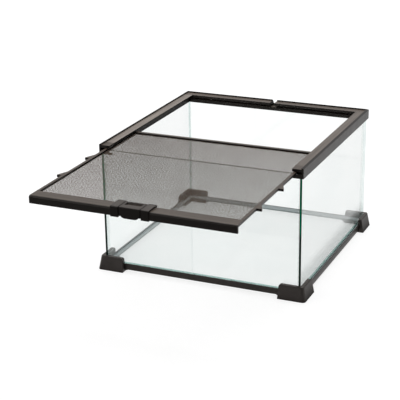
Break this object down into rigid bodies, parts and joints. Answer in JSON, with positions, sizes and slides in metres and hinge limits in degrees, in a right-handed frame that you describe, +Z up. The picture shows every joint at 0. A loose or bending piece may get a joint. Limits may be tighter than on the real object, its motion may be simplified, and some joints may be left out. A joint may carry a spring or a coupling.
{
  "type": "reptile terrarium",
  "caption": "Low square glass terrarium with dark plastic rails and feet, and a sliding mesh lid with a front latch, pulled partly out.",
  "frame": {"origin": "on the shelf plane under the feet, in the middle of the whole footprint, which takes in the lid where it stands, pulled 201 mm out; the tank's own centre is at y = 0.099 m", "axes": "+Z up, -Y towards the front, where the lid slides out, +X to the right seen from the front"},
  "size_m": [0.314, 0.5124, 0.1884],
  "materials": {
    "frame_plastic": "fine satin moulding, brown-black",
    "latch_plastic": "smooth, brown-black",
    "pane_glass": "clear float glass, green cut edges",
    "silicone": "clear silicone bead",
    "mesh_wire": "fine woven wire",
    "pin_steel": "plain steel"
  },
  "bodies": {
    "tank": {"front_pane": "pane_glass", "back_pane": "pane_glass", "left_pane": "pane_glass", "right_pane": "pane_glass", "floor_pane": "pane_glass", "front_bottom_rail": "frame_plastic", "back_bottom_rail": "frame_plastic", "left_bottom_rail": "frame_plastic", "right_bottom_rail": "frame_plastic", "foot_front_left": "frame_plastic", "foot_front_right": "frame_plastic", "foot_back_left": "frame_plastic", "foot_back_right": "frame_plastic", "left_top_rail": "frame_plastic", "right_top_rail": "frame_plastic", "back_top_rail_left": "frame_plastic", "back_top_rail_right": "frame_plastic", "corner_back_left": "frame_plastic", "corner_back_right": "frame_plastic", "end_cap_left": "frame_plastic", "end_cap_right": "frame_plastic", "cable_inlet": "frame_plastic", "corner_beads": "silicone", "floor_beads": "silicone"},
    "lid": {"lid_front_bar": "frame_plastic", "lid_left_rail": "frame_plastic", "lid_right_rail": "frame_plastic", "lid_back_rail": "frame_plastic", "lid_mesh": "mesh_wire", "latch_housing": "latch_plastic", "latch_pin": "pin_steel"},
    "latch": {"latch_flap": "latch_plastic"}
  },
  "joints": [
    {"name": "lid_slide", "type": "slide", "parent": "tank", "child": "lid", "axis": [0, 1, 0], "range_m": [-0.06, 0.201]},
    {"name": "latch_lift", "type": "hinge", "parent": "lid", "child": "latch", "pos_m": [0, -0.23485, 0.1825], "axis": [-1, 0, 0], "range_deg": [0, 25]}
  ]
}
